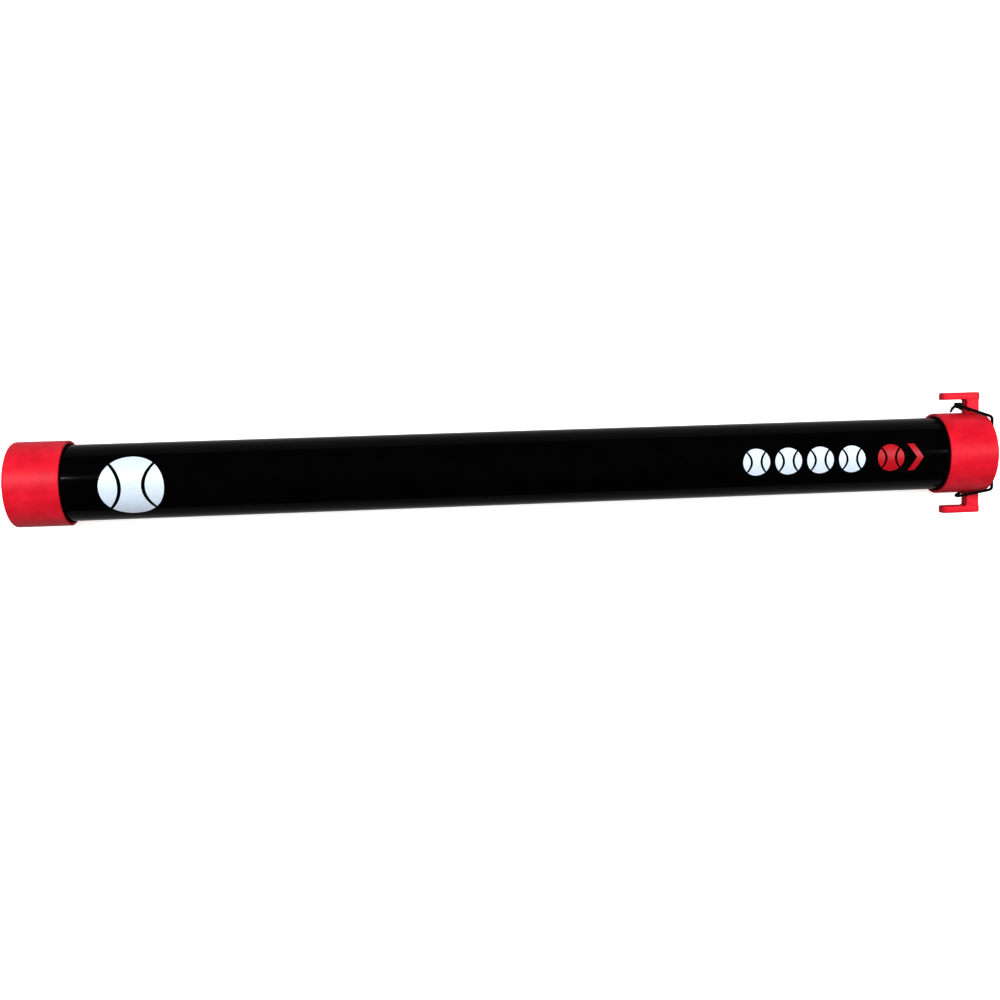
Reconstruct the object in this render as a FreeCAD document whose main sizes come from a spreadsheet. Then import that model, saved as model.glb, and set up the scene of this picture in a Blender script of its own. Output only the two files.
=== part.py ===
import FreeCAD, Part
import math
import os
import Sketcher

# Tennis ball pick-up tube: a long plain tube, a push-on end cap that closes one end, and a collar at the
# other end whose open mouth is crossed by two strands of an elastic cord. Pushed down over a ball, the
# tube spreads the strands, and they close behind the ball.
# Frame: +X runs along the tube from the cap to the mouth, +Y points to the upper cleat, +Z is up. The
# origin is on the floor under the middle of the whole object.

doc = FreeCAD.newDocument("ball_pickup_tube")

# Driving dimensions in millimetres; angles come from geometry.
sizes = {
    "tube_od": 73.0,
    "tube_wall": 1.5,
    "tube_length": 945.0,
    "sleeve_gap": 1.4,        # radial room between the tube and a moulded sleeve's wall
    "sleeve_wall": 2.7,
    "lip_radius": 0.7,
    "rib_count": 12,
    "rib_width": 2.0,
    "rib_setback": 8.0,       # from a sleeve's lip to the start of its ribs
    "rib_clearance": 0.1,
    "cap_length": 51.0,
    "cap_floor": 3.0,
    "cap_seat_gap": 0.3,      # between the cap's floor and the end of the tube
    "cap_edge_radius": 2.6,
    "collar_length": 50.0,
    "nose_length": 9.0,       # the thick ring between the tube's end and the mouth
    "rim_radius": 2.2,
    "post_setback": 3.0,      # from the mouth back to a cleat's post
    "post_length": 14.0,
    "post_height": 14.0,      # from the collar's surface to the arm's inner face
    "arm_length": 39.5,       # the post included
    "arm_thickness": 6.9,
    "cleat_width": 13.0,
    "post_corner_radius": 3.0,
    "arm_tip_radius": 4.5,
    "cleat_edge_radius": 1.2,
    "cord_diameter": 3.0,
    "cord_gap": 0.1,          # between the cord and what it lies on
    "cord_joint_gap": 0.2,    # between a strand's end and the loop that it belongs to
    "strand_offset": 21.8,    # each strand from the mouth's middle plane
    "rim_run": 3.9,          # cord beyond each strand's end before it turns over the rim
    "rim_crossing_lift": 0.65,
    "loop_reach": 7.5,        # how far a loop swings behind its post
    "upper_loop_lift": 4.44,   # each loop's back above the line that just grazes the collar
    "lower_loop_lift": 0.64,
    "loop_bend_radius": 4.0,
    "knot_length": 9.6,
    "knot_height": 6.6,
    "knot_width": 7.6,
    "tail_length": 9.5,
    "tail_root_radius": 1.2,
    "tail_tip_radius": 0.7,
}
sheet = doc.addObject("Spreadsheet::Sheet", "dims")
for row, (alias, number) in enumerate(sizes.items(), start=1):
    sheet.set(f"A{row}", alias.replace("_", " "))
    sheet.set(f"B{row}", str(number))
    sheet.setAlias(f"B{row}", alias)
doc.recompute()


def value(expression):
    """The number that an expression on the sheet's cells gives."""
    return float(sheet.evalExpression(expression))


# Measures that several pieces share, as expressions on the sheet.
TUBE_R = "(dims.tube_od / 2)"
BORE_R = "(dims.tube_od / 2 - dims.tube_wall)"
SLEEVE_INNER_R = "(dims.tube_od / 2 + dims.sleeve_gap)"
SHELL_R = "(dims.tube_od / 2 + dims.sleeve_gap + dims.sleeve_wall)"
RIB_TIP_R = "(dims.tube_od / 2 + dims.rib_clearance)"
RIB_ROOT_R = "(dims.tube_od / 2 + dims.sleeve_gap + dims.sleeve_wall / 2)"
STANDOFF = "(dims.cord_diameter / 2 + dims.cord_gap)"
CROSSING_R = f"({SHELL_R} + {STANDOFF} + dims.rim_crossing_lift)"
CROSSING_Y = f"sqrt({CROSSING_R} ^ 2 - dims.strand_offset ^ 2)"
STRAND_HALF_SPAN = f"({CROSSING_Y} - dims.rim_run)"
# A straight run from the rim crossing that just grazes the collar: where it touches, and how far from
# the tube's axis it is by the time it is one cord from the post's middle.
GRAZE_R = f"({SHELL_R} + {STANDOFF})"
GRAZE_RUN = f"sqrt({CROSSING_R} ^ 2 - {GRAZE_R} ^ 2)"
TOUCH_Z = f"({GRAZE_R} * ({GRAZE_R} * dims.strand_offset - {GRAZE_RUN} * {CROSSING_Y}) / {CROSSING_R} ^ 2)"
TOUCH_Y = f"({GRAZE_R} * ({GRAZE_R} * {CROSSING_Y} + {GRAZE_RUN} * dims.strand_offset) / {CROSSING_R} ^ 2)"
GRAZE_Y = f"(({GRAZE_R} ^ 2 - dims.cord_diameter * {TOUCH_Z}) / {TOUCH_Y})"
CAP_DEPTH = "(dims.cap_floor + dims.cap_seat_gap)"
BODY_LENGTH = f"({CAP_DEPTH} + dims.tube_length + dims.nose_length)"
OVERALL = f"({BODY_LENGTH} + dims.cord_diameter + dims.cord_gap)"
CAP_END_X = f"(-{OVERALL} / 2)"
TUBE_START_X = f"({CAP_END_X} + {CAP_DEPTH})"
MOUTH_X = f"({CAP_END_X} + {BODY_LENGTH})"
POST_BACK_X = f"({MOUTH_X} - dims.post_setback - dims.post_length)"


def place(item, x, y="0", z=SHELL_R):
    """Puts a piece's own origin at x, y, z, tied to the sheet; z is the tube's axis unless given."""
    for axis, expression in zip("xyz", (x, y, z)):
        item.setExpression(f"Placement.Base.{axis}", expression)


def new_body(label):
    body = doc.addObject("PartDesign::Body", label)
    body.Label = label
    return body


def origin_feature(body, role):
    return next(f for f in body.Origin.OriginFeatures if f.Role == role)


def outline(body, name, corners):
    """A closed straight-sided sketch on the body's XY plane, each corner a pair of expressions."""
    sketch = body.newObject("Sketcher::SketchObject", name)
    sketch.AttachmentSupport = (origin_feature(body, "XY_Plane"), [""])
    sketch.MapMode = "FlatFace"
    points = [FreeCAD.Vector(value(x), value(y), 0) for x, y in corners]
    count = len(points)
    for i in range(count):
        sketch.addGeometry(Part.LineSegment(points[i], points[(i + 1) % count]), False)
    for i in range(count):
        sketch.addConstraint(Sketcher.Constraint("Coincident", i, 2, (i + 1) % count, 1))
    for i, corner in enumerate(corners):
        for kind, axis_line, expression in zip(("DistanceX", "DistanceY"), (-2, -1), corner):
            if expression == "0":
                sketch.addConstraint(Sketcher.Constraint("PointOnObject", i, 1, axis_line))
            else:
                datum = Sketcher.Constraint(kind, -1, 1, i, 1, value(expression))
                index = sketch.addConstraint(datum)
                sketch.setExpression(f"Constraints[{index}]", expression)
    doc.recompute()
    return sketch


def revolve(body, name, sketch):
    feature = body.newObject("PartDesign::Revolution", name)
    feature.Profile = sketch
    feature.ReferenceAxis = (sketch, ["H_Axis"])
    feature.Angle = 360.0
    doc.recompute()
    return feature


def centred_pad(body, name, sketch, thickness):
    """A pad that grows equally to both sides of its sketch."""
    feature = body.newObject("PartDesign::Pad", name)
    feature.Profile = sketch
    feature.Midplane = True
    feature.setExpression("Length", thickness)
    doc.recompute()
    return feature


def repeat_round_axis(body, name, feature, count):
    """Copies a feature evenly round the body's X axis."""
    pattern = body.newObject("PartDesign::PolarPattern", name)
    pattern.Originals = [feature]
    pattern.Axis = (origin_feature(body, "X_Axis"), [""])
    pattern.Angle = 360.0
    if isinstance(count, str):
        pattern.setExpression("Occurrences", count)
    else:
        pattern.Occurrences = count
    body.Tip = pattern
    doc.recompute()
    return pattern


def fillet(body, name, chosen, radius):
    """Rounds the edges of the body's last feature that chosen(edge) picks."""
    base = body.Tip
    names = [f"Edge{i}" for i, edge in enumerate(base.Shape.Edges, start=1) if chosen(edge)]
    feature = body.newObject("PartDesign::Fillet", name)
    feature.Base = (base, names)
    feature.setExpression("Radius", radius)
    body.Tip = feature
    doc.recompute()
    return feature


def ring_edge(x, radius):
    """Picks the circle of that radius round the body's X axis at x."""
    def chosen(edge):
        curve = edge.Curve
        return (isinstance(curve, Part.Circle) and abs(curve.Radius - value(radius)) < 0.01
                and abs(curve.Center.x - value(x)) < 0.01 and math.hypot(curve.Center.y, curve.Center.z) < 0.01)
    return chosen


def either(*tests):
    return lambda edge: any(test(edge) for test in tests)


def add_ribs(body, end_x):
    """Crush ribs inside a sleeve, from behind its lip to end_x, that grip the tube."""
    rib_sketch = outline(body, f"{body.Label}_rib_outline", [
        ("dims.rib_setback", RIB_TIP_R), (end_x, RIB_TIP_R), (end_x, RIB_ROOT_R), ("dims.rib_setback", RIB_ROOT_R)])
    rib = centred_pad(body, f"{body.Label}_rib", rib_sketch, "dims.rib_width")
    return repeat_round_axis(body, f"{body.Label}_ribs", rib, "dims.rib_count")


# Tube: one extrusion, square-cut at both ends.
def make_tube():
    body = new_body("tube")
    section = outline(body, "tube_section", [
        ("0", BORE_R), ("dims.tube_length", BORE_R), ("dims.tube_length", TUBE_R), ("0", TUBE_R)])
    revolve(body, "tube_wall_shape", section)
    place(body, TUBE_START_X)
    return body


# End cap: a cup. Its own origin is in its lip, and its closed end lies a cap length away along -X, so
# the body is turned half round.
def make_end_cap():
    body = new_body("end_cap")
    floor_x = "(dims.cap_length - dims.cap_floor)"
    section = outline(body, "end_cap_section", [
        ("0", SLEEVE_INNER_R), (floor_x, SLEEVE_INNER_R), (floor_x, "0"),
        ("dims.cap_length", "0"), ("dims.cap_length", SHELL_R), ("0", SHELL_R)])
    revolve(body, "end_cap_cup", section)
    add_ribs(body, floor_x)
    fillet(body, "end_cap_edge", ring_edge("dims.cap_length", SHELL_R), "dims.cap_edge_radius")
    fillet(body, "end_cap_lip", either(ring_edge("0", SHELL_R), ring_edge("0", SLEEVE_INNER_R)), "dims.lip_radius")
    body.Placement.Rotation = FreeCAD.Rotation(FreeCAD.Vector(0, 0, 1), 180)
    place(body, f"({CAP_END_X} + dims.cap_length)")
    return body


# Pick-up collar: a sleeve over the tube, a thick nose that the tube's end seats on, and two opposite
# L-shaped cleats whose arms point back along the tube. Its own origin is in the sleeve's lip.
def make_pickup_collar():
    body = new_body("pickup_collar")
    seat_x = "(dims.collar_length - dims.nose_length)"
    section = outline(body, "collar_section", [
        ("0", SLEEVE_INNER_R), (seat_x, SLEEVE_INNER_R), (seat_x, BORE_R),
        ("dims.collar_length", BORE_R), ("dims.collar_length", SHELL_R), ("0", SHELL_R)])
    revolve(body, "collar_ring", section)
    add_ribs(body, seat_x)
    fillet(body, "collar_rim", either(ring_edge("dims.collar_length", SHELL_R), ring_edge("dims.collar_length", BORE_R)),
           "dims.rim_radius")
    fillet(body, "collar_lip", either(ring_edge("0", SHELL_R), ring_edge("0", SLEEVE_INNER_R)), "dims.lip_radius")
    add_cleats(body)
    place(body, f"({MOUTH_X} - dims.collar_length)")
    return body


def add_cleats(body):
    front_x = "(dims.collar_length - dims.post_setback)"
    back_x = f"({front_x} - dims.post_length)"
    tip_x = f"({front_x} - dims.arm_length)"
    inner_y = f"({SHELL_R} + dims.post_height)"
    outer_y = f"({inner_y} + dims.arm_thickness)"
    profile = outline(body, "cleat_outline", [
        (back_x, RIB_ROOT_R), (front_x, RIB_ROOT_R), (front_x, outer_y),
        (tip_x, outer_y), (tip_x, inner_y), (back_x, inner_y)])
    cleat = centred_pad(body, "cleat", profile, "dims.cleat_width")
    repeat_round_axis(body, "cleats", cleat, 2)
    side_z = value("dims.cleat_width / 2")

    def upright_at(x):
        """Picks the straight edges that stand up along Y on the cleats' sides at x."""
        def chosen(edge):
            box = edge.BoundBox
            return (box.XLength < 0.01 and box.ZLength < 0.01 and box.YLength > 1
                    and abs(box.XMin - value(x)) < 0.01 and abs(abs(box.ZMin) - side_z) < 0.01)
        return chosen

    def rim_of_face_at(y):
        """Picks the edges that lie in the plane of an arm's outer face, at y on either cleat."""
        def chosen(edge):
            box = edge.BoundBox
            return box.YLength < 0.01 and abs(abs(box.YMin) - value(y)) < 0.01
        return chosen

    fillet(body, "post_corners", upright_at(front_x), "dims.post_corner_radius")
    fillet(body, "arm_tips", upright_at(tip_x), "dims.arm_tip_radius")
    fillet(body, "cleat_edges", rim_of_face_at(outer_y), "dims.cleat_edge_radius")


def rounded_path(corners, radius):
    """A wire of straight runs through the corners, joined by tangent arcs of that radius."""
    edges = []
    start = corners[0]
    for before, corner, after in zip(corners, corners[1:], corners[2:]):
        back = (before - corner).normalize()
        ahead = (after - corner).normalize()
        half_turn = (math.pi - back.getAngle(ahead)) / 2
        trim = radius * math.tan(half_turn)
        inward = (back + ahead).normalize()
        middle = corner + inward * (radius / math.cos(half_turn) - radius)
        first = corner + back * trim
        last = corner + ahead * trim
        edges.append(Part.LineSegment(start, first).toShape())
        edges.append(Part.Arc(first, middle, last).toShape())
        start = last
    edges.append(Part.LineSegment(start, corners[-1]).toShape())
    return Part.Wire(edges)


# Elastic loops: the parts of the cord that stay put. Each comes off the mouth on one side, turns over
# the rim, runs straight back to brush the post's back corner, goes round behind the post and returns on
# the other side.
def make_loop(label, side, lift):
    mouth_x = value(MOUTH_X)
    axis_z = value(SHELL_R)
    standoff = value(STANDOFF)
    offset = value("dims.strand_offset")
    front_x = mouth_x + standoff
    crossing_y = value(CROSSING_Y)
    back_x = value(POST_BACK_X) - value("dims.loop_reach")
    back_y = value(f"{GRAZE_Y} + {lift}")
    to_corner_x = front_x - value(POST_BACK_X)
    to_corner_z = offset - value("dims.cleat_width / 2")
    to_corner = math.hypot(to_corner_x, to_corner_z)
    lean = math.atan2(to_corner_z, to_corner_x) - math.asin(standoff / to_corner)
    back_z = offset - math.tan(lean) * (front_x - back_x)
    strand_end = value(STRAND_HALF_SPAN)
    half = [(front_x, strand_end, offset), (front_x, crossing_y, offset), (back_x, back_y, back_z)]
    route = half + [(x, y, -z) for x, y, z in reversed(half)]
    points = [FreeCAD.Vector(x, side * y, axis_z + z) for x, y, z in route]
    path = rounded_path(points, value("dims.loop_bend_radius"))
    radius = value("dims.cord_diameter / 2")
    section = Part.Wire(Part.Circle(points[0], FreeCAD.Vector(0, side, 0), radius).toShape())
    loop = doc.addObject("Part::Feature", label)
    loop.Shape = path.makePipeShell([section], True, True)
    expected = math.pi * radius ** 2 * path.Length
    print(label, "length", round(path.Length, 2), "volume share", round(loop.Shape.Volume / expected, 4))
    return loop


# Elastic strands: the two straight stretches that lie across the mouth and spread for a ball.
def make_strand(label, side):
    strand = doc.addObject("Part::Cylinder", label)
    strand.setExpression("Radius", "dims.cord_diameter / 2")
    strand.setExpression("Height", f"2 * ({STRAND_HALF_SPAN} - dims.cord_joint_gap)")
    strand.Placement.Rotation = FreeCAD.Rotation(FreeCAD.Vector(1, 0, 0), -90)
    place(strand, f"({MOUTH_X} + {STANDOFF})", f"dims.cord_joint_gap - {STRAND_HALF_SPAN}",
          f"({SHELL_R} + {side} * dims.strand_offset)")
    return strand


# Knot: the cord's two ends tied together behind the upper post, with two short tails.
def make_knot():
    label = "elastic_knot"
    middle_x = f"({POST_BACK_X} - 2 * dims.cord_gap - dims.knot_length / 2)"
    middle_y = f"({GRAZE_Y} + dims.upper_loop_lift)"
    knot = doc.addObject("Part::Ellipsoid", "knot_body")
    knot.setExpression("Radius1", "dims.knot_width / 2")
    knot.setExpression("Radius2", "dims.knot_length / 2")
    knot.setExpression("Radius3", "dims.knot_height / 2")
    place(knot, middle_x, middle_y)
    pieces = [knot]
    for name, direction in (("long_tail", (-1.0, -0.5, 0.25)), ("short_tail", (-0.75, -0.72, 0.45))):
        tail = doc.addObject("Part::Cone", name)
        tail.setExpression("Radius1", "dims.tail_root_radius")
        tail.setExpression("Radius2", "dims.tail_tip_radius")
        tail.setExpression("Height", "dims.tail_length")
        tail.Placement.Rotation = FreeCAD.Rotation(FreeCAD.Vector(0, 0, 1), FreeCAD.Vector(*direction))
        place(tail, f"({middle_x} - dims.knot_length / 5)", middle_y)
        pieces.append(tail)
    whole = doc.addObject("Part::MultiFuse", label)
    whole.Shapes = pieces
    return whole


nodes = [
    make_tube(),
    make_end_cap(),
    make_pickup_collar(),
    make_loop("elastic_upper_loop", 1, "dims.upper_loop_lift"),
    make_loop("elastic_lower_loop", -1, "dims.lower_loop_lift"),
    make_strand("elastic_strand_near", 1),
    make_strand("elastic_strand_far", -1),
    make_knot(),
]
doc.recompute()

for item in doc.Objects:
    if {"Invalid", "Error"} & set(item.State):
        raise RuntimeError(f"{item.Label} did not build: {item.State}")
for node in nodes:
    if node.Shape.isNull() or not node.Shape.isValid() or len(node.Shape.Solids) != 1:
        raise RuntimeError(f"{node.Label} is not one valid solid")
os.makedirs("parts", exist_ok=True)
for node in nodes:
    box = node.Shape.BoundBox
    print(f"{node.Label:22s} {node.Shape.Volume / 1000:9.3f} cm3  x {box.XMin:8.2f} {box.XMax:8.2f}  "
          f"y {box.YMin:7.2f} {box.YMax:7.2f}  z {box.ZMin:7.2f} {box.ZMax:7.2f}")
    node.Shape.exportStep(f"parts/{node.Label}.step")
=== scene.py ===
import math

import bmesh
import bpy
from mathutils import Matrix, Vector


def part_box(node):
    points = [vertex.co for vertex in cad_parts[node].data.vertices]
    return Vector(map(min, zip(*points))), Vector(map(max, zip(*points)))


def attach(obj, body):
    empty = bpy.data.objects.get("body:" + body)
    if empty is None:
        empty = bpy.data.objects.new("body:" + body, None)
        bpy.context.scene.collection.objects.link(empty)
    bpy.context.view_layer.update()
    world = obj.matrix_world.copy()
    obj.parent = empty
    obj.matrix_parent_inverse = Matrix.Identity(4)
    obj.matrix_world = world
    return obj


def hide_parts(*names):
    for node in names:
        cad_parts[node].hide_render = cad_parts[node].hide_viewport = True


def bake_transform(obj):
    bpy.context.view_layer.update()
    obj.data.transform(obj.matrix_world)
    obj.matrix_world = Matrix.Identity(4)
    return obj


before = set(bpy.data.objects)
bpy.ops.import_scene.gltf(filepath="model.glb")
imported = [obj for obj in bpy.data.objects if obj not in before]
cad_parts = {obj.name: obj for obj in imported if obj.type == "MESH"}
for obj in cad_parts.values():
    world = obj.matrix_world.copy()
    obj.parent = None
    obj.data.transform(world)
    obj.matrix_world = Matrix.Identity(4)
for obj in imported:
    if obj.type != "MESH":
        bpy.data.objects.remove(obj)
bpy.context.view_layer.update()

MM = 0.001


# ---- Camera -----------------------------------------------------------------------------------------
# It looks down on the tube from above and a little left of its middle, leans towards the upper cleat's
# side and is rolled slightly, so that the tube rises to the right across the frame.
tube_low, tube_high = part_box("tube")
axis_z = (tube_low.z + tube_high.z) / 2
tube_axis = Vector((0, 0, axis_z))
camera_place = Vector((-0.0942, -0.0006, 1.114))
camera_yaw, camera_pitch, camera_roll, camera_lean = (math.radians(a) for a in (5.39, 0.11, 1.97, 4.5))
looking = (Matrix.Rotation(camera_roll, 3, "Z") @ Matrix.Rotation(camera_pitch, 3, "X")
           @ Matrix.Rotation(camera_yaw, 3, "Y")).transposed()
leaning = Matrix.Rotation(-camera_lean, 3, "X")
camera = bpy.data.objects.new("camera", bpy.data.cameras.new("camera"))
camera.data.lens = 40.6
camera.data.sensor_width = 36.0
camera.data.shift_x = -0.03
camera.data.shift_y = -0.03
camera.matrix_world = (leaning @ looking).to_4x4()
camera.location = tube_axis + leaning @ camera_place
bpy.context.scene.collection.objects.link(camera)
bpy.context.scene.camera = camera


# ---- Tube -------------------------------------------------------------------------------------------
# A long extruded tube of black plastic with a high gloss, cut square at both ends. It is turned here as
# a wall with slightly broken edges, and its surface carries the faint lengthwise draw lines of the die.
class Field:
    """A node socket in an expression: arithmetic on it adds Math nodes to its tree."""

    def __init__(self, tree, socket):
        self.tree, self.socket = tree, socket

    def maths(self, operation, *values):
        return make_node(self.tree, "ShaderNodeMath", {"operation": operation}, dict(enumerate(values)))

    def __add__(self, other):
        return self.maths("ADD", self, other)

    def __sub__(self, other):
        return self.maths("SUBTRACT", self, other)

    def __rsub__(self, other):
        return self.maths("SUBTRACT", other, self)

    def __mul__(self, other):
        return self.maths("MULTIPLY", self, other)

    def __truediv__(self, other):
        return self.maths("DIVIDE", self, other)

    def __pow__(self, other):
        return self.maths("POWER", self, other)

    __radd__, __rmul__ = __add__, __mul__


def make_node(tree, kind, settings=None, sockets=None, output=0):
    """Adds a node, its settings first and then the values or links of its sockets; gives one output."""
    made = tree.nodes.new(kind)
    for name, setting in (settings or {}).items():
        setattr(made, name, setting)
    for name, value in (sockets or {}).items():
        if isinstance(value, Field):
            tree.links.new(value.socket, made.inputs[name])
        else:
            made.inputs[name].default_value = value
    return Field(tree, made.outputs[output])


class Finish:
    """A material with one principled shader; place is the piece's own coordinates in metres."""

    def __init__(self, name, constants):
        self.material = bpy.data.materials.new(name)
        self.material.use_nodes = True
        self.tree = self.material.node_tree
        self.shader = self.tree.nodes["Principled BSDF"]
        for socket, value in constants.items():
            self.shader.inputs[socket].default_value = value
        self.place = self.add("ShaderNodeTexCoord", output="Object")

    def add(self, kind, settings=None, sockets=None, output=0):
        return make_node(self.tree, kind, settings, sockets, output)

    def stretched(self, scale):
        """The piece's coordinates, scaled to set a pattern's grain."""
        return self.add("ShaderNodeMapping", None, {"Vector": self.place, "Scale": scale})

    def noise(self, vector, scale, detail=3.0, roughness=0.5):
        return self.add("ShaderNodeTexNoise", None,
                        {"Vector": vector, "Scale": scale, "Detail": detail, "Roughness": roughness})

    def ramp(self, value, *stops):
        """Colours or greys at places along a value."""
        made = self.tree.nodes.new("ShaderNodeValToRGB")
        self.tree.links.new(value.socket, made.inputs[0])
        elements = made.color_ramp.elements
        for index, (position, colour) in enumerate(stops):
            element = elements[index] if index < 2 else elements.new(position)
            element.position = position
            element.color = (*colour, 1) if hasattr(colour, "__len__") else (colour, colour, colour, 1)
        return Field(self.tree, made.outputs[0])

    def drive(self, **inputs):
        """Links what changes over the surface into the shader."""
        for socket, value in inputs.items():
            self.tree.links.new(value.socket, self.shader.inputs[socket.replace("_", " ").title()])

    def relief(self, height, distance):
        """Bump from a height that runs from 0 to 1 over a distance in metres."""
        sockets = {"Height": height, "Distance": distance, "Strength": 1.0}
        self.drive(normal=self.add("ShaderNodeBump", None, sockets))


def gloss_black_plastic():
    finish = Finish("gloss_black_plastic", {"IOR": 1.5, "Specular IOR Level": 0.07})
    draw_lines = finish.noise(finish.stretched((1.2, 90, 90)), 1.0, 4.0)
    handling = finish.noise(finish.place, 38.0, 5.0, 0.62)
    colour = finish.ramp(handling, (0.3, (0.0014, 0.0014, 0.0016)), (0.8, (0.0026, 0.0026, 0.0030)))
    finish.drive(base_color=colour, roughness=0.05 + 0.09 * handling)
    finish.relief(draw_lines, 0.00006)
    return finish.material


def corner_arc(before, corner, after, radius, steps):
    """Points of the arc that rounds a corner between two straight runs."""
    back, ahead = (before - corner).normalized(), (after - corner).normalized()
    half_turn = (math.pi - back.angle(ahead)) / 2
    centre = corner + (back + ahead).normalized() * (radius / math.cos(half_turn))
    trim = radius * math.tan(half_turn)
    first, last = corner + back * trim - centre, corner + ahead * trim - centre
    shares = (step / steps for step in range(steps + 1))
    return [centre + (first * math.sin((1 - t) * 2 * half_turn) + last * math.sin(t * 2 * half_turn))
            / math.sin(2 * half_turn) for t in shares]


def rounded_outline(corners, closed=True, steps=6, support=0.35 * MM):
    """Points of a turned outline. Each corner is (x, r, rounding), and support points hold its arc."""
    points = []
    count = len(corners)
    for index, (x, r, rounding) in enumerate(corners):
        here = Vector((x, r))
        if rounding == 0 or (not closed and index in (0, count - 1)):
            points.append(here)
            continue
        before, after = Vector(corners[index - 1][:2]), Vector(corners[(index + 1) % count][:2])
        arc = corner_arc(before, here, after, rounding, steps)
        for end, far, run in ((arc[0], before, points), (arc[-1], after, None)):
            if (far - end).length > 2 * support:
                held = end + (far - end).normalized() * support
                arc = [held, *arc] if run is points else [*arc, held]
        points += arc
    return points


def finished(name, mesh_maker, material, sharp=32):
    """Makes an object from a bmesh: doubles merged, normals outwards, smooth but for its sharp edges."""
    bmesh.ops.remove_doubles(mesh_maker, verts=mesh_maker.verts, dist=1e-7)
    bmesh.ops.recalc_face_normals(mesh_maker, faces=mesh_maker.faces)
    mesh = bpy.data.meshes.new(name)
    mesh_maker.to_mesh(mesh)
    mesh_maker.free()
    mesh.shade_smooth()
    mesh.set_sharp_from_angle(angle=math.radians(sharp))
    mesh.materials.append(material)
    piece = bpy.data.objects.new(name, mesh)
    bpy.context.scene.collection.objects.link(piece)
    return piece


def turned(outline, closed=True, segments=192):
    """A bmesh turned round the tube's axis from an outline of (x, r); a point with r 0 is a pole."""
    turning = bmesh.new()
    rings = []
    for x, r in outline:
        if r < 1e-7:
            rings.append([turning.verts.new((x, 0, axis_z))] * segments)
            continue
        angles = (2 * math.pi * k / segments for k in range(segments))
        rings.append([turning.verts.new((x, r * math.sin(a), axis_z + r * math.cos(a))) for a in angles])
    pairs = list(zip(rings, rings[1:])) + ([(rings[-1], rings[0])] if closed else [])
    for ring, following in pairs:
        for k in range(segments):
            corners = (ring[k - 1], ring[k], following[k], following[k - 1])
            face = list(dict.fromkeys(corners))
            if len(face) > 2:
                turning.faces.new(face)
    return turning


tube_r = (tube_high.z - tube_low.z) / 2
tube_wall = 1.5 * MM
bore_r = tube_r - tube_wall
broken_edge = 0.25 * MM
tube_outline = rounded_outline(
    [(tube_low.x, bore_r, broken_edge), (tube_high.x, bore_r, broken_edge),
     (tube_high.x, tube_r, broken_edge), (tube_low.x, tube_r, broken_edge)], steps=2, support=1 * MM)
tube = finished("tube_shell", turned(tube_outline), gloss_black_plastic())
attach(tube, "barrel")
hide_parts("tube")


# ---- End cap ----------------------------------------------------------------------------------------
# A cup of red plastic, injection moulded with a satin skin, pushed over the closed end of the tube. Its
# wall stands clear of the tube, and twelve thin ribs inside it do the gripping.
def satin_red_plastic():
    finish = Finish("satin_red_plastic", {"IOR": 1.46, "Specular IOR Level": 0.25})
    clouds = finish.noise(finish.place, 55.0, 4.0, 0.55)
    flow = finish.noise(finish.stretched((14, 75, 75)), 1.0, 3.0)
    grain = finish.noise(finish.place, 2600.0, 2.0)
    scuffs = finish.noise(finish.stretched((900, 120, 120)), 1.0, 2.0, 0.7)
    depth = 0.68 * clouds + 0.32 * flow
    colour = finish.ramp(depth, (0.36, (0.58, 0.0140, 0.0360)), (0.50, (0.66, 0.0200, 0.0460)),
                         (0.64, (0.73, 0.0280, 0.0560)))
    finish.drive(base_color=colour, roughness=0.34 + 0.12 * clouds + 0.08 * scuffs)
    finish.relief(0.65 * grain + 0.35 * clouds, 0.00003)
    return finish.material


red_plastic = satin_red_plastic()
cap_low, cap_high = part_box("end_cap")
shell_r = (cap_high.z - cap_low.z) / 2
sleeve_wall = 2.7 * MM
sleeve_r = shell_r - sleeve_wall
lip_rounding = 0.7 * MM
cap_floor = 3.0 * MM
cap_edge = 2.6 * MM
cap_inner_corner = 1.2 * MM
gate_r, gate_depth, gate_edge, gate_flare = 2.2 * MM, 0.35 * MM, 0.2 * MM, 1.35
cap_outline = rounded_outline(
    [(cap_low.x + cap_floor, 0, 0), (cap_low.x + cap_floor, sleeve_r, cap_inner_corner),
     (cap_high.x, sleeve_r, lip_rounding), (cap_high.x, shell_r, lip_rounding),
     (cap_low.x, shell_r, cap_edge), (cap_low.x, gate_r * gate_flare, gate_edge),
     (cap_low.x + gate_depth, gate_r, gate_edge), (cap_low.x + gate_depth, 0, 0)], closed=False)
end_cap = finished("end_cap_cup", turned(cap_outline, closed=False), red_plastic)
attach(end_cap, "cap")
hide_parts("end_cap")


# ---- Grip ribs --------------------------------------------------------------------------------------
# Thin straight ribs moulded inside both sleeves, crushed a little as the part is pushed on. One rib is
# laid out along the sleeve and copied evenly round the tube's axis.
def node_group(name, inputs):
    """An empty Geometry Nodes tree with named inputs; gives the tree and its inputs as fields."""
    tree = bpy.data.node_groups.new(name, "GeometryNodeTree")
    tree.interface.new_socket("Geometry", in_out="OUTPUT", socket_type="NodeSocketGeometry")
    tree.interface.new_socket("Geometry", in_out="INPUT", socket_type="NodeSocketGeometry")
    for label, kind in inputs.items():
        tree.interface.new_socket(label, in_out="INPUT", socket_type=kind)
    entry = tree.nodes.new("NodeGroupInput")
    return tree, {socket.name: Field(tree, socket) for socket in entry.outputs if socket.name}


def close_group(tree, geometry, material):
    """Ends a tree in real geometry with its material."""
    real = make_node(tree, "GeometryNodeRealizeInstances", None, {"Geometry": geometry})
    done = make_node(tree, "GeometryNodeSetMaterial", None, {"Geometry": real, "Material": material})
    leave = tree.nodes.new("NodeGroupOutput")
    tree.links.new(done.socket, leave.inputs["Geometry"])


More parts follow.
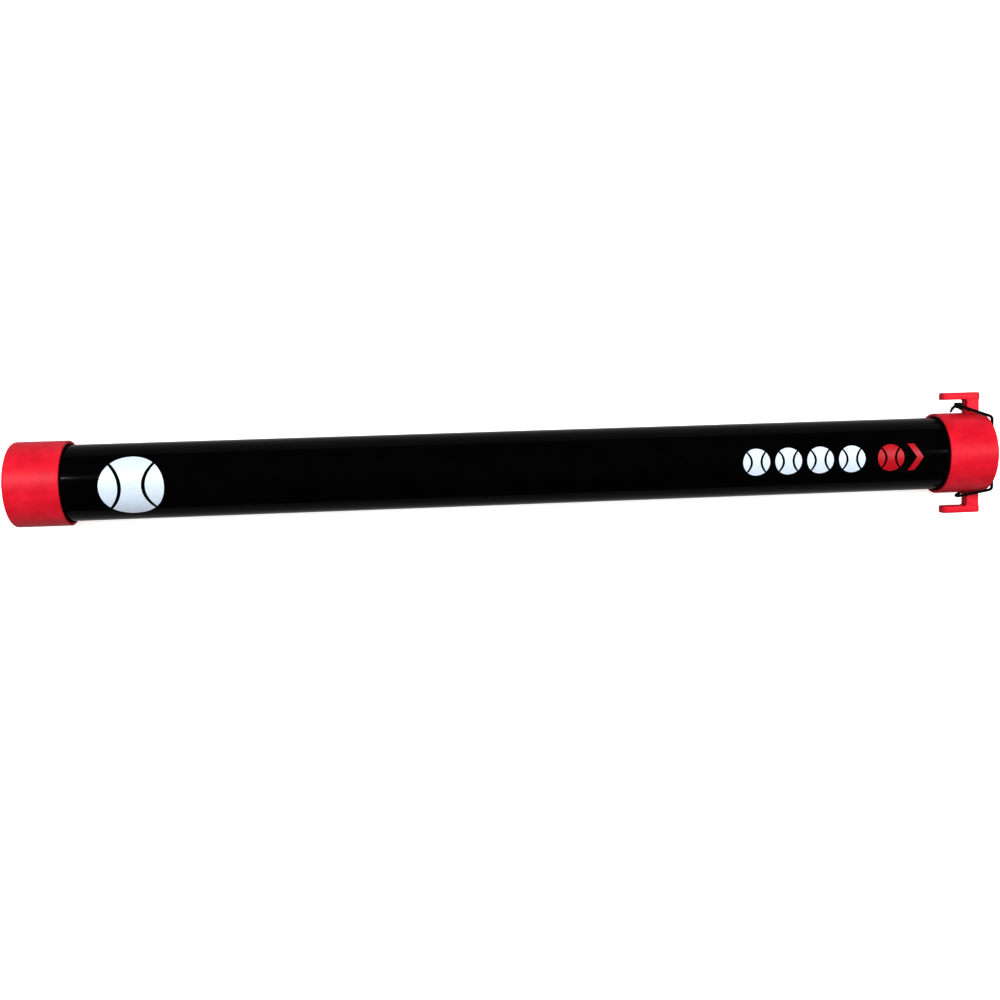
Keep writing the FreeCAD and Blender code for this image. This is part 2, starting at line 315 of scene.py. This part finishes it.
def grown(name, base_data, tree, values, material, sharp=40):
    """Runs a Geometry Nodes tree on some data and gives the result as a plain mesh object."""
    seed = bpy.data.objects.new(name + "_seed", base_data)
    bpy.context.scene.collection.objects.link(seed)
    modifier = seed.modifiers.new("grow", "NODES")
    modifier.node_group = tree
    for socket in tree.interface.items_tree:
        if socket.in_out == "INPUT" and socket.name in values:
            modifier[socket.identifier] = values[socket.name]
    evaluated = seed.evaluated_get(bpy.context.evaluated_depsgraph_get())
    mesh = bpy.data.meshes.new_from_object(evaluated)
    bpy.data.objects.remove(seed)
    mesh.name = name
    mesh.materials.clear()
    mesh.materials.append(material)
    mesh.shade_smooth()
    mesh.set_sharp_from_angle(angle=math.radians(sharp))
    piece = bpy.data.objects.new(name, mesh)
    bpy.context.scene.collection.objects.link(piece)
    return piece


def ring_copies_group():
    """Copies what it is given evenly round the tube's axis."""
    tree, given = node_group("round_the_axis", {
        "Count": "NodeSocketInt", "Axis Height": "NodeSocketFloat", "Material": "NodeSocketMaterial"})
    spots = make_node(tree, "GeometryNodePoints", None, {"Count": given["Count"]})
    index = make_node(tree, "GeometryNodeInputIndex")
    turn = make_node(tree, "ShaderNodeCombineXYZ", None, {"X": index / given["Count"] * (2 * math.pi)})
    centre = make_node(tree, "ShaderNodeCombineXYZ", None, {"Z": given["Axis Height"]})
    moved = make_node(tree, "GeometryNodeSetPosition", None, {"Geometry": spots, "Position": centre})
    copies = make_node(tree, "GeometryNodeInstanceOnPoints", None,
                       {"Points": moved, "Instance": given["Geometry"], "Rotation": turn})
    close_group(tree, copies, given["Material"])
    return tree


def rib_mesh(start_x, end_x):
    """One rib at the top of a sleeve: a bar with a rounded tip and a sloped start."""
    half_width, tip_r, root_r = 1.0 * MM, tube_r + 0.1 * MM, sleeve_r + rib_sink
    slope = math.copysign(rib_lead_in, end_x - start_x)
    bar = bmesh.new()
    tip = [(-half_width, tip_r + 0.45 * MM), (-half_width * 0.6, tip_r + 0.1 * MM), (0, tip_r),
           (half_width * 0.6, tip_r + 0.1 * MM), (half_width, tip_r + 0.45 * MM)]
    section = [(-half_width, root_r), *tip, (half_width, root_r)]
    first = [bar.verts.new((start_x, y, root_r)) for y, z in section]
    second = [bar.verts.new((start_x + slope, y, z)) for y, z in section]
    third = [bar.verts.new((end_x, y, z)) for y, z in section]
    count = len(section)
    for near, far in ((first, second), (second, third)):
        for k in range(count):
            bar.faces.new((near[k], near[(k + 1) % count], far[(k + 1) % count], far[k]))
    bar.faces.new(first)
    bar.faces.new(third)
    bmesh.ops.remove_doubles(bar, verts=bar.verts, dist=1e-7)
    bmesh.ops.recalc_face_normals(bar, faces=bar.faces)
    mesh = bpy.data.meshes.new("rib")
    bar.to_mesh(mesh)
    bar.free()
    return mesh


rib_count = 12
rib_sink = 0.4 * MM
rib_lead_in = 4 * MM
rib_setback = 8 * MM
rib_end_sink = 0.3 * MM
nose_length = 9.0 * MM
collar_low, collar_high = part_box("pickup_collar")
seat_x = collar_high.x - nose_length
ring_copies = ring_copies_group()
for name, body, start_x, end_x in (
        ("end_cap_ribs", "cap", cap_high.x - rib_setback, cap_low.x + cap_floor - rib_end_sink),
        ("pickup_collar_ribs", "barrel", collar_low.x + rib_setback, seat_x + rib_end_sink)):
    ribs = grown(name, rib_mesh(start_x, end_x), ring_copies,
                 {"Count": rib_count, "Axis Height": axis_z, "Material": red_plastic}, red_plastic)
    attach(ribs, body)


# ---- Pick-up collar ---------------------------------------------------------------------------------
# One moulding in the cap's red plastic: a sleeve over the tube, a thick nose with a full round rim, and
# two opposite cleats. Each cleat is a post that swells into the collar at its foot and a flat tongue.
def tongue_outline(x_low, x_high, half_width, r_low, r_high, steps=7):
    """A rectangle in plan, as (x, z), with one corner radius at each end."""
    points = []
    for cx, cz, radius, first in ((x_high - r_high, half_width - r_high, r_high, 0),
                                  (x_low + r_low, half_width - r_low, r_low, 90),
                                  (x_low + r_low, r_low - half_width, r_low, 180),
                                  (x_high - r_high, r_high - half_width, r_high, 270)):
        for step in range(steps + 1):
            angle = math.radians(first + 90 * step / steps)
            points.append((cx + radius * math.cos(angle), cz + radius * math.sin(angle)))
    return points


def stacked(rows):
    """A closed bmesh lofted through rows of points of equal count, flat at both ends."""
    loft = bmesh.new()
    rings = [[loft.verts.new(point) for point in row] for row in rows]
    count = len(rings[0])
    for ring, following in zip(rings, rings[1:]):
        for k in range(count):
            loft.faces.new((ring[k - 1], ring[k], following[k], following[k - 1]))
    loft.faces.new(rings[0])
    loft.faces.new(rings[-1])
    bmesh.ops.recalc_face_normals(loft, faces=loft.faces)
    return loft


def quarter(steps=5):
    """Sine and cosine pairs through a quarter turn, from (0, 1) to (1, 0)."""
    angles = (math.pi / 2 * k / steps for k in range(steps + 1))
    return [(math.sin(angle), math.cos(angle)) for angle in angles]


rim_rounding = 2.2 * MM
post_setback, post_depth = 3.0 * MM, 14.0 * MM
post_front_x = collar_high.x - post_setback
post_back_x = post_front_x - post_depth
arm_length, arm_gap = 39.5 * MM, 14.0 * MM
arm_tip_x = post_front_x - arm_length
arm_inner_y = shell_r + arm_gap
arm_outer_y = collar_high.y
cleat_half_width = 6.5 * MM
post_half_width = 6.0 * MM
arm_edge, arm_under_edge = 1.2 * MM, 0.8 * MM
arm_tip_corner, arm_root_corner = 4.5 * MM, 3.0 * MM
post_back_corner, post_front_corner = 1.0 * MM, 2.8 * MM
post_front_inset = 0.4 * MM
foot_buried, foot_start = 1.4 * MM, 0.04 * MM
foot_swell = 1.3 * MM
throat_swell = 2.4 * MM


def tongue_rows():
    """The arm: a flat tongue with softened edges, as rows of points from its inner to its outer face."""
    def row(inset, y):
        outline = tongue_outline(arm_tip_x + inset, post_front_x - inset, cleat_half_width - inset,
                                 arm_tip_corner - inset, arm_root_corner - inset)
        return [(x, y, z) for x, z in outline]
    under = [row(arm_under_edge * (1 - s), arm_inner_y + arm_under_edge * (1 - c)) for s, c in quarter()]
    over = [row(arm_edge * (1 - c), arm_outer_y - arm_edge * (1 - s)) for s, c in quarter()]
    return under + over


def post_rows():
    """The post: buried in the wall, swelling at its foot, and swelling back under the arm."""
    def row(swell, throat, lift):
        """lift is a height above the collar's curved surface, or a plain height once above the foot."""
        outline = tongue_outline(post_back_x - swell - throat, post_front_x - post_front_inset + swell,
                                 post_half_width + swell,
                                 post_back_corner + swell, post_front_corner + swell)
        if lift < arm_inner_y / 2:
            return [(x, math.sqrt(shell_r ** 2 - z ** 2) + lift, z) for x, z in outline]
        return [(x, lift, z) for x, z in outline]
    buried = [row(foot_swell, 0, -foot_buried), row(foot_swell, 0, -foot_start)]
    foot = [row(foot_swell * (1 - s), 0, foot_swell * (1 - c)) for s, c in quarter()[1:]]
    clear = [row(0, 0, shell_r + foot_swell + 1.0 * MM)]
    throat = [row(0, throat_swell * (1 - c), arm_inner_y - throat_swell * (1 - s)) for s, c in quarter()]
    return buried + foot + clear + throat + [row(0, throat_swell, arm_inner_y + 2 * MM)]


def moulded_together(name, first, others, material):
    """Unites closed bmeshes into one moulding."""
    whole = finished(name, first, material)
    cutters = []
    for index, shape in enumerate(others):
        other = finished(f"{name}_{index}", shape, material)
        union = whole.modifiers.new(f"union_{index}", "BOOLEAN")
        union.operation, union.solver, union.object = "UNION", "EXACT", other
        cutters.append(other)
    evaluated = whole.evaluated_get(bpy.context.evaluated_depsgraph_get())
    mesh = bpy.data.meshes.new_from_object(evaluated)
    whole.modifiers.clear()
    whole.data = mesh
    for other in cutters:
        bpy.data.objects.remove(other)
    mesh.shade_smooth()
    mesh.set_sharp_from_angle(angle=math.radians(38))
    return whole


ring_outline = rounded_outline(
    [(collar_low.x, sleeve_r, lip_rounding), (seat_x, sleeve_r, 0), (seat_x, bore_r, 0),
     (collar_high.x, bore_r, rim_rounding), (collar_high.x, shell_r, rim_rounding),
     (collar_low.x, shell_r, lip_rounding)])
cleat_shapes = []
for half_turns in (0, 1):
    turn = Matrix.Translation(tube_axis) @ Matrix.Rotation(math.pi * half_turns, 4, "X")
    for rows in (post_rows(), tongue_rows()):
        shape = stacked(rows)
        bmesh.ops.transform(shape, matrix=turn, verts=shape.verts)
        cleat_shapes.append(shape)
collar = moulded_together("pickup_collar_moulding", turned(ring_outline), cleat_shapes, red_plastic)
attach(collar, "barrel")
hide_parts("pickup_collar")


# ---- Elastic cord -----------------------------------------------------------------------------------
# Rubber thread inside a braided black sheath, about 3 mm thick, pulled tight. It lies across the mouth
# twice and is hooked round both posts. It is parted at the rim into separate strands.
def braided_black():
    finish = Finish("braided_black", {"Sheen Weight": 0.06, "Sheen Roughness": 0.4,
                                      "IOR": 1.45, "Specular IOR Level": 0.25})
    fuzz = finish.noise(finish.place, 1900.0, 3.0, 0.6)
    colour = finish.ramp(fuzz, (0.35, (0.0022, 0.0020, 0.0024)), (0.7, (0.0100, 0.0094, 0.0106)))
    finish.drive(base_color=colour, roughness=0.62 + 0.25 * fuzz)
    finish.relief(fuzz, 0.00004)
    return finish.material


def braid_group():
    """Lays a braid of round yarns over a path: half of them wind each way, going over and under the
    others by turns. A plain core fills the middle."""
    tree, given = node_group("braid_on_path", {
        "Cord Radius": "NodeSocketFloat", "Yarn Radius": "NodeSocketFloat",
        "Weave Depth": "NodeSocketFloat", "Lay Length": "NodeSocketFloat",
        "Yarns Each Way": "NodeSocketInt", "Sampling": "NodeSocketFloat", "Material": "NodeSocketMaterial"})
    path = make_node(tree, "GeometryNodeResampleCurve", {"mode": "LENGTH"},
                     {"Curve": given["Geometry"], "Length": given["Sampling"]})
    along = make_node(tree, "GeometryNodeSplineParameter", output="Length")
    thickness = make_node(tree, "GeometryNodeInputRadius")
    normal = make_node(tree, "GeometryNodeInputNormal")
    tangent = make_node(tree, "GeometryNodeInputTangent")
    side = make_node(tree, "ShaderNodeVectorMath", {"operation": "CROSS_PRODUCT"}, {0: tangent, 1: normal})
    winding = along / given["Lay Length"] * (2 * math.pi)
    weave = (winding * given["Yarns Each Way"]).maths("COSINE", winding * given["Yarns Each Way"])
    yarn_section = make_node(tree, "GeometryNodeCurvePrimitiveCircle", None,
                             {"Resolution": 5, "Radius": given["Yarn Radius"]})
    layers = []
    for way in (1, -1):
        copied = tree.nodes.new("GeometryNodeDuplicateElements")
        copied.domain = "SPLINE"
        tree.links.new(path.socket, copied.inputs["Geometry"])
        tree.links.new(given["Yarns Each Way"].socket, copied.inputs["Amount"])
        which = Field(tree, copied.outputs["Duplicate Index"])
        angle = winding * way + which / given["Yarns Each Way"] * (2 * math.pi)
        reach = (given["Cord Radius"] - given["Yarn Radius"] - given["Weave Depth"]
                 + given["Weave Depth"] * weave * way) * thickness
        across = make_node(tree, "ShaderNodeVectorMath", {"operation": "SCALE"},
                           {"Vector": normal, "Scale": reach * angle.maths("COSINE", angle)})
        aside = make_node(tree, "ShaderNodeVectorMath", {"operation": "SCALE"},
                          {"Vector": side, "Scale": reach * angle.maths("SINE", angle)})
        offset = make_node(tree, "ShaderNodeVectorMath", {"operation": "ADD"}, {0: across, 1: aside})
        wound = make_node(tree, "GeometryNodeSetPosition", None,
                          {"Geometry": Field(tree, copied.outputs["Geometry"]), "Offset": offset})
        yarns = make_node(tree, "GeometryNodeCurveToMesh", None,
                          {"Curve": wound, "Profile Curve": yarn_section, "Fill Caps": True})
        layers.append(yarns)
    core_section = make_node(tree, "GeometryNodeCurvePrimitiveCircle", None, {
        "Resolution": 12, "Radius": given["Cord Radius"] - 2 * given["Yarn Radius"] + 0.1 * MM})
    coarse = make_node(tree, "GeometryNodeResampleCurve", {"mode": "LENGTH"},
                       {"Curve": given["Geometry"], "Length": given["Sampling"] * 3})
    core = make_node(tree, "GeometryNodeCurveToMesh", None,
                     {"Curve": coarse, "Profile Curve": core_section, "Fill Caps": True})
    joined = tree.nodes.new("GeometryNodeJoinGeometry")
    for part in (core, *layers):
        tree.links.new(part.socket, joined.inputs["Geometry"])
    close_group(tree, Field(tree, joined.outputs["Geometry"]), given["Material"])
    return tree


def path_curve(name, points, thickness=None):
    """A smooth NURBS line on control points, each with its share of the thickness."""
    curve = bpy.data.curves.new(name, "CURVE")
    curve.dimensions = "3D"
    curve.twist_mode = "MINIMUM"
    curve.resolution_u = 24
    spline = curve.splines.new("NURBS")
    spline.points.add(len(points) - 1)
    for index, point in enumerate(points):
        spline.points[index].co = (*point, 1)
        spline.points[index].radius = thickness[index] if thickness else 1.0
    spline.order_u = 3
    spline.use_endpoint_u = True
    return curve


braid = braid_group()
black_braid = braided_black()
cord_r = 1.5 * MM
near_low, near_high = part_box("elastic_strand_near")
strand_x = (near_low.x + near_high.x) / 2
strand_z = (near_low.z + near_high.z) / 2 - axis_z
rim_gap = 0.2 * MM
rim_cut_y = near_high.y + rim_gap
braid_values = {"Cord Radius": cord_r, "Yarn Radius": 0.30 * MM, "Weave Depth": 0.07 * MM,
                "Lay Length": 10 * MM, "Yarns Each Way": 6, "Sampling": 0.21 * MM, "Material": black_braid}


def cord_piece(name, points, thickness=None):
    """A length of the cord through points given about the tube's axis."""
    placed = [tube_axis + Vector(point) for point in points]
    piece = grown(name, path_curve(name, placed, thickness), braid, braid_values, black_braid, sharp=80)
    return piece


rim_run = 3.9 * MM
rim_y = near_high.y + rim_gap + rim_run
post_gap_z = 3.09 * MM
bend_radius = 4.0 * MM
loop_setback = 7.5 * MM
back_x = post_back_x - loop_setback
upper_height, lower_height = 7.8 * MM, 4.0 * MM
for name, node, side, height in (("elastic_loop_upper", "elastic_upper_loop", 1, upper_height),
                                 ("elastic_loop_lower", "elastic_lower_loop", -1, lower_height)):
    back_y = shell_r + height
    front = Vector((strand_x, rim_y, strand_z))
    back = Vector((back_x, back_y, post_gap_z))
    half = [Vector((strand_x, rim_cut_y, strand_z)), front, back]
    corners = [Vector((p.x, side * p.y, p.z)) for p in half]
    corners += [Vector((p.x, p.y, -p.z)) for p in reversed(corners)]
    route = [corners[0]]
    for before, corner, after in zip(corners, corners[1:], corners[2:]):
        route += corner_arc(before, corner, after, bend_radius, 8)
    loop = cord_piece(name, [*route, corners[-1]])
    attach(loop, "barrel")
    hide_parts(node)

for name, node, body, side in (("near", "elastic_strand_near", "near_strand", 1),
                               ("far", "elastic_strand_far", "far_strand", -1)):
    for end, way in (("upper", 1), ("lower", -1)):
        strand = cord_piece(f"elastic_{name}_{end}", [
            (strand_x, 0, side * strand_z), (strand_x, way * rim_cut_y / 2, side * strand_z),
            (strand_x, way * rim_cut_y, side * strand_z)])
        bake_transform(strand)
        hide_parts(node)


# ---- Knot -------------------------------------------------------------------------------------------
# The cord's two ends are tied together behind the upper post: one end is wound round both and pulled
# tight, and two short tails, thinner where the rubber has drawn back, point away from the mouth.
knot_setback = 6.5 * MM
knot_middle = Vector((post_back_x - knot_setback, shell_r + upper_height, 0))
wind_turns, wind_points = 2.4, 8
knot_radius_y, knot_radius_z = 1.7 * MM, 2.2 * MM
wind_length = 5.2 * MM
winding = []
for step in range(int(wind_turns * wind_points) + 1):
    angle = 2 * math.pi * step / wind_points
    winding.append(knot_middle + Vector((
        wind_length * (0.5 - step / (wind_turns * wind_points)),
        knot_radius_y * math.sin(angle), knot_radius_z * math.cos(angle))))
knot_coil = cord_piece("elastic_knot_coil", winding)
tails = []
for name, points, thickness in (
        ("elastic_tail_long",
         ((3, 0.6, -0.6), (-1, 0.3, -0.4), (-4.2, -0.8, 0.4), (-7.0, -3.2, 1.2), (-9.0, -6.2, 1.8)),
         (1, 1, 0.92, 0.80, 0.62)),
        ("elastic_tail_short",
         ((3, -0.6, 0.6), (-1, -0.5, 0.6), (-4.0, -0.6, 1.8), (-6.6, -2.0, 3.0), (-8.8, -2.8, 3.8)),
         (1, 1, 0.90, 0.72, 0.55))):
    tails.append(cord_piece(name, [knot_middle + Vector(point) * MM for point in points], thickness))
for piece in (knot_coil, *tails):
    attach(piece, "barrel")
    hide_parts("elastic_knot")


# ---- Printed marks ----------------------------------------------------------------------------------
# Pictograms in thin printed film, wrapped on the tube: a large white ball near the cap, and near the
# collar a row of four small white balls, a red one and a red arrowhead. The gaps in a ball are its seam.
def printed(name, colour):
    finish = Finish(name, {"IOR": 1.45})
    wear = finish.noise(finish.place, 300.0, 4.0, 0.6)
    pale = tuple(part * 1.06 + 0.002 for part in colour)
    finish.drive(base_color=finish.ramp(wear, (0.35, colour), (0.7, pale)), roughness=0.28 + 0.14 * wear)
    finish.relief(wear, 0.00001)
    return finish.material


def ball_slab(radius, seam, film):
    """A flat ball pictogram on the XY plane: three closed slabs parted by two bowed seams."""
    waist, bow = 0.36, 0.60
    slab = bmesh.new()

    def seam_edge(side, inwards):
        """A seam's edge from rim to rim: its half height, and its point at a share of the way down."""
        def across(height):
            return side * (radius * (waist + bow * (height / radius) ** 2) - inwards * seam / 2)
        low, high = 0.0, radius
        for _ in range(40):
            middle = (low + high) / 2
            low, high = (middle, high) if math.hypot(across(middle), middle) < radius else (low, middle)
        return low, lambda share: Vector((across(low * (1 - 2 * share)), low * (1 - 2 * share)))

    def side_rim(side, half_height):
        """The rim outside a seam, from the seam's top end to its bottom end."""
        half_angle = math.asin(half_height / radius)
        return lambda share: Vector((side * radius * math.cos(half_angle * (1 - 2 * share)),
                                     radius * math.sin(half_angle * (1 - 2 * share))))

    def crowned(side, crown=0.14):
        """Half of the middle slab's outline: the rim, the seam's inner edge, the rim again."""
        half_height, edge = seam_edge(side, 1)
        corner = math.asin(half_height / radius)

        def outline(share):
            if crown < share < 1 - crown:
                return edge((share - crown) / (1 - 2 * crown))
            part = min(share, 1 - share) / crown
            angle = math.pi / 2 + (corner - math.pi / 2) * part
            height = math.copysign(radius * math.sin(angle), 0.5 - share)
            return Vector((side * radius * math.cos(angle), height))
        return outline

    def patch(left, right, steps, columns=10):
        """A slab between two lines that run side by side and meet at both ends."""
        layers = []
        for z in (0, film):
            lines = [(left(k / steps), right(k / steps)) for k in range(steps + 1)]
            layers.append([[slab.verts.new((*a.lerp(b, j / columns), z)) for j in range(columns + 1)]
                           for a, b in lines])
        low, high = layers
        for grid in layers:
            for row, following in zip(grid, grid[1:]):
                for j in range(columns):
                    slab.faces.new((row[j], following[j], following[j + 1], row[j + 1]))
        for column in (0, columns):
            for k in range(steps):
                slab.faces.new((low[k][column], low[k + 1][column], high[k + 1][column], high[k][column]))

    for side in (1, -1):
        half_height, edge = seam_edge(side, -1)
        patch(edge, side_rim(side, half_height), steps=28)
    patch(crowned(-1), crowned(1), steps=50)
    bmesh.ops.remove_doubles(slab, verts=slab.verts, dist=1e-6)
    bmesh.ops.recalc_face_normals(slab, faces=slab.faces)
    mesh = bpy.data.meshes.new("ball_slab")
    slab.to_mesh(mesh)
    slab.free()
    return mesh


def wrapped_row_group():
    """Sets copies of a flat slab in a row along the tube and wraps them on its surface."""
    tree, given = node_group("row_wrapped_on_tube", {
        "Count": "NodeSocketInt", "Pitch": "NodeSocketFloat", "First Place": "NodeSocketFloat",
        "Swing": "NodeSocketFloat", "Tube Radius": "NodeSocketFloat", "Axis Height": "NodeSocketFloat",
        "Material": "NodeSocketMaterial"})
    spots = make_node(tree, "GeometryNodePoints", None, {"Count": given["Count"]})
    index = make_node(tree, "GeometryNodeInputIndex")
    step = given["First Place"] + given["Pitch"] * index
    place = make_node(tree, "ShaderNodeCombineXYZ", None, {"X": step})
    row = make_node(tree, "GeometryNodeSetPosition", None, {"Geometry": spots, "Position": place})
    copies = make_node(tree, "GeometryNodeInstanceOnPoints", None,
                       {"Points": row, "Instance": given["Geometry"]})
    real = make_node(tree, "GeometryNodeRealizeInstances", None, {"Geometry": copies})
    flat = tree.nodes.new("ShaderNodeSeparateXYZ")
    tree.links.new(make_node(tree, "GeometryNodeInputPosition").socket, flat.inputs[0])
    x, y, z = (Field(tree, output) for output in flat.outputs)
    angle = y / given["Tube Radius"] + given["Swing"]
    reach = given["Tube Radius"] + z
    bent = make_node(tree, "ShaderNodeCombineXYZ", None, {
        "X": x, "Y": reach * angle.maths("SINE", angle),
        "Z": reach * angle.maths("COSINE", angle) + given["Axis Height"]})
    wrapped = make_node(tree, "GeometryNodeSetPosition", None, {"Geometry": real, "Position": bent})
    close_group(tree, wrapped, given["Material"])
    return tree


def flat_slab(corners, film):
    """A flat pictogram on the XY plane with its corners in millimetres, cut fine enough to wrap."""
    slab = bmesh.new()
    face = slab.faces.new([slab.verts.new((x * MM, y * MM, 0)) for x, y in corners])
    raised = bmesh.ops.extrude_face_region(slab, geom=[face])["geom"]
    raised_corners = [part for part in raised if isinstance(part, bmesh.types.BMVert)]
    bmesh.ops.translate(slab, vec=(0, 0, film), verts=raised_corners)
    for step in range(-13, 14):
        everything = slab.verts[:] + slab.edges[:] + slab.faces[:]
        bmesh.ops.bisect_plane(slab, geom=everything, plane_co=(0, step * MM, 0), plane_no=(0, 1, 0),
                               dist=1e-7)
    mesh = bpy.data.meshes.new("flat_slab")
    slab.to_mesh(mesh)
    slab.free()
    return mesh


def print_on_tube(name, ink, slab, count, pitch, first, swing):
    """Prints copies of a slab on the tube; first is the first one's place from the cap's closed end."""
    marks = grown(name, slab, wrapped_row, {
        "Count": count, "Pitch": pitch, "First Place": cap_low.x + first, "Swing": math.radians(swing),
        "Tube Radius": tube_r + film_lift, "Axis Height": axis_z, "Material": ink}, ink)
    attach(marks, "barrel")


wrapped_row = wrapped_row_group()
white_ink = printed("white_print", (0.64, 0.71, 0.79))
red_ink = printed("red_print", (0.46, 0.012, 0.026))
film_lift, film_thickness = 0.03 * MM, 0.07 * MM
for name, slot, ink, radius, seam, count, pitch, first, swing in (
        ("emblem_ball_white", "white_print", white_ink, 30 * MM, 3.2 * MM, 1, 0.0, 115 * MM, -4),
        ("row_balls_white", "white_print", white_ink, 13.6 * MM, 2.1 * MM, 4, 32.2 * MM, 710.6 * MM, 0),
        ("row_ball_red", "red_print", red_ink, 13.6 * MM, 2.1 * MM, 1, 0.0, 847.0 * MM, 0)):
    print_on_tube(name, ink, ball_slab(radius, seam, film_thickness), count, pitch, first, swing)
chevron = [(0, -13.6), (7.0, -13.6), (16.0, 0), (7.0, 13.6), (0, 13.6), (9.0, 0)]
arrow_slab = flat_slab(chevron, film_thickness)
print_on_tube("row_arrow_red", red_ink, arrow_slab, 1, 0.0, 864.5 * MM, 0)


# ---- Studio -----------------------------------------------------------------------------------------
# A wide pale floor and one broad soft key from above that the gloss doesn't mirror, so the tube stays
# dark but for its edges. Two small lamps only make the glints by the sleeves, and two light the ends.
def studio_floor():
    finish = Finish("studio_floor", {"Specular IOR Level": 0.1, "Emission Color": (1, 1, 1, 1)})
    mottle = finish.noise(finish.place, 3.0, 2.0)
    seen = finish.add("ShaderNodeLightPath", output="Is Camera Ray")
    finish.drive(base_color=finish.ramp(mottle, (0.3, 0.52), (0.7, 0.54)), roughness=0.75 + 0.1 * mottle,
                 emission_strength=0.06 + 0.70 * seen)
    return finish.material


def soft_light(name, place, size, power, shape="RECTANGLE", diffuse=True):
    light = bpy.data.lights.new(name, "AREA")
    light.shape, light.size, light.size_y = shape, *size
    light.energy = power
    lamp = bpy.data.objects.new(name, light)
    lamp.location = place
    lamp.rotation_euler = (tube_axis - Vector(place)).to_track_quat("-Z", "Y").to_euler()
    lamp.visible_diffuse = diffuse
    bpy.context.scene.collection.objects.link(lamp)


floor_shape = bmesh.new()
bmesh.ops.create_grid(floor_shape, x_segments=2, y_segments=2, size=12)
floor = finished("floor", floor_shape, studio_floor())
key = bpy.data.lights.new("key", "SUN")
key.energy = 3.4
key.angle = math.radians(42)
key_lamp = bpy.data.objects.new("key", key)
key_lamp.rotation_euler = (math.radians(-15), 0, 0)
key_lamp.visible_glossy = False
bpy.context.scene.collection.objects.link(key_lamp)
soft_light("cap_glint", (-0.885, 0.42, 1.14), (0.13, 0.22), 9.0, "ELLIPSE", diffuse=False)
soft_light("collar_glint", (1.14, 0.10, 1.14), (0.15, 0.22), 3.0, "ELLIPSE", diffuse=False)
soft_light("left_edge_light", (-1.55, 0.25, 1.5), (0.35, 0.6), 9)
soft_light("right_edge_light", (1.45, 0.25, 1.5), (0.35, 0.6), 9)
world = bpy.data.worlds.new("studio")
world.use_nodes = True
bpy.context.scene.world = world
sky = world.node_tree
seen = make_node(sky, "ShaderNodeLightPath", output="Is Camera Ray")
direction = make_node(sky, "ShaderNodeTexCoord")
upwards = make_node(sky, "ShaderNodeSeparateXYZ", None, {0: direction}, output=2)
horizon = (1.0 - upwards.maths("ABSOLUTE", upwards)) ** 7
background = sky.nodes["Background"]
background.inputs["Color"].default_value = (0.96, 0.97, 1.0, 1)
sky.links.new((0.04 + 0.12 * horizon + 0.92 * seen).socket, background.inputs["Strength"])
bpy.context.scene.view_settings.view_transform = "Standard"
bpy.context.scene.view_settings.gamma = 0.75
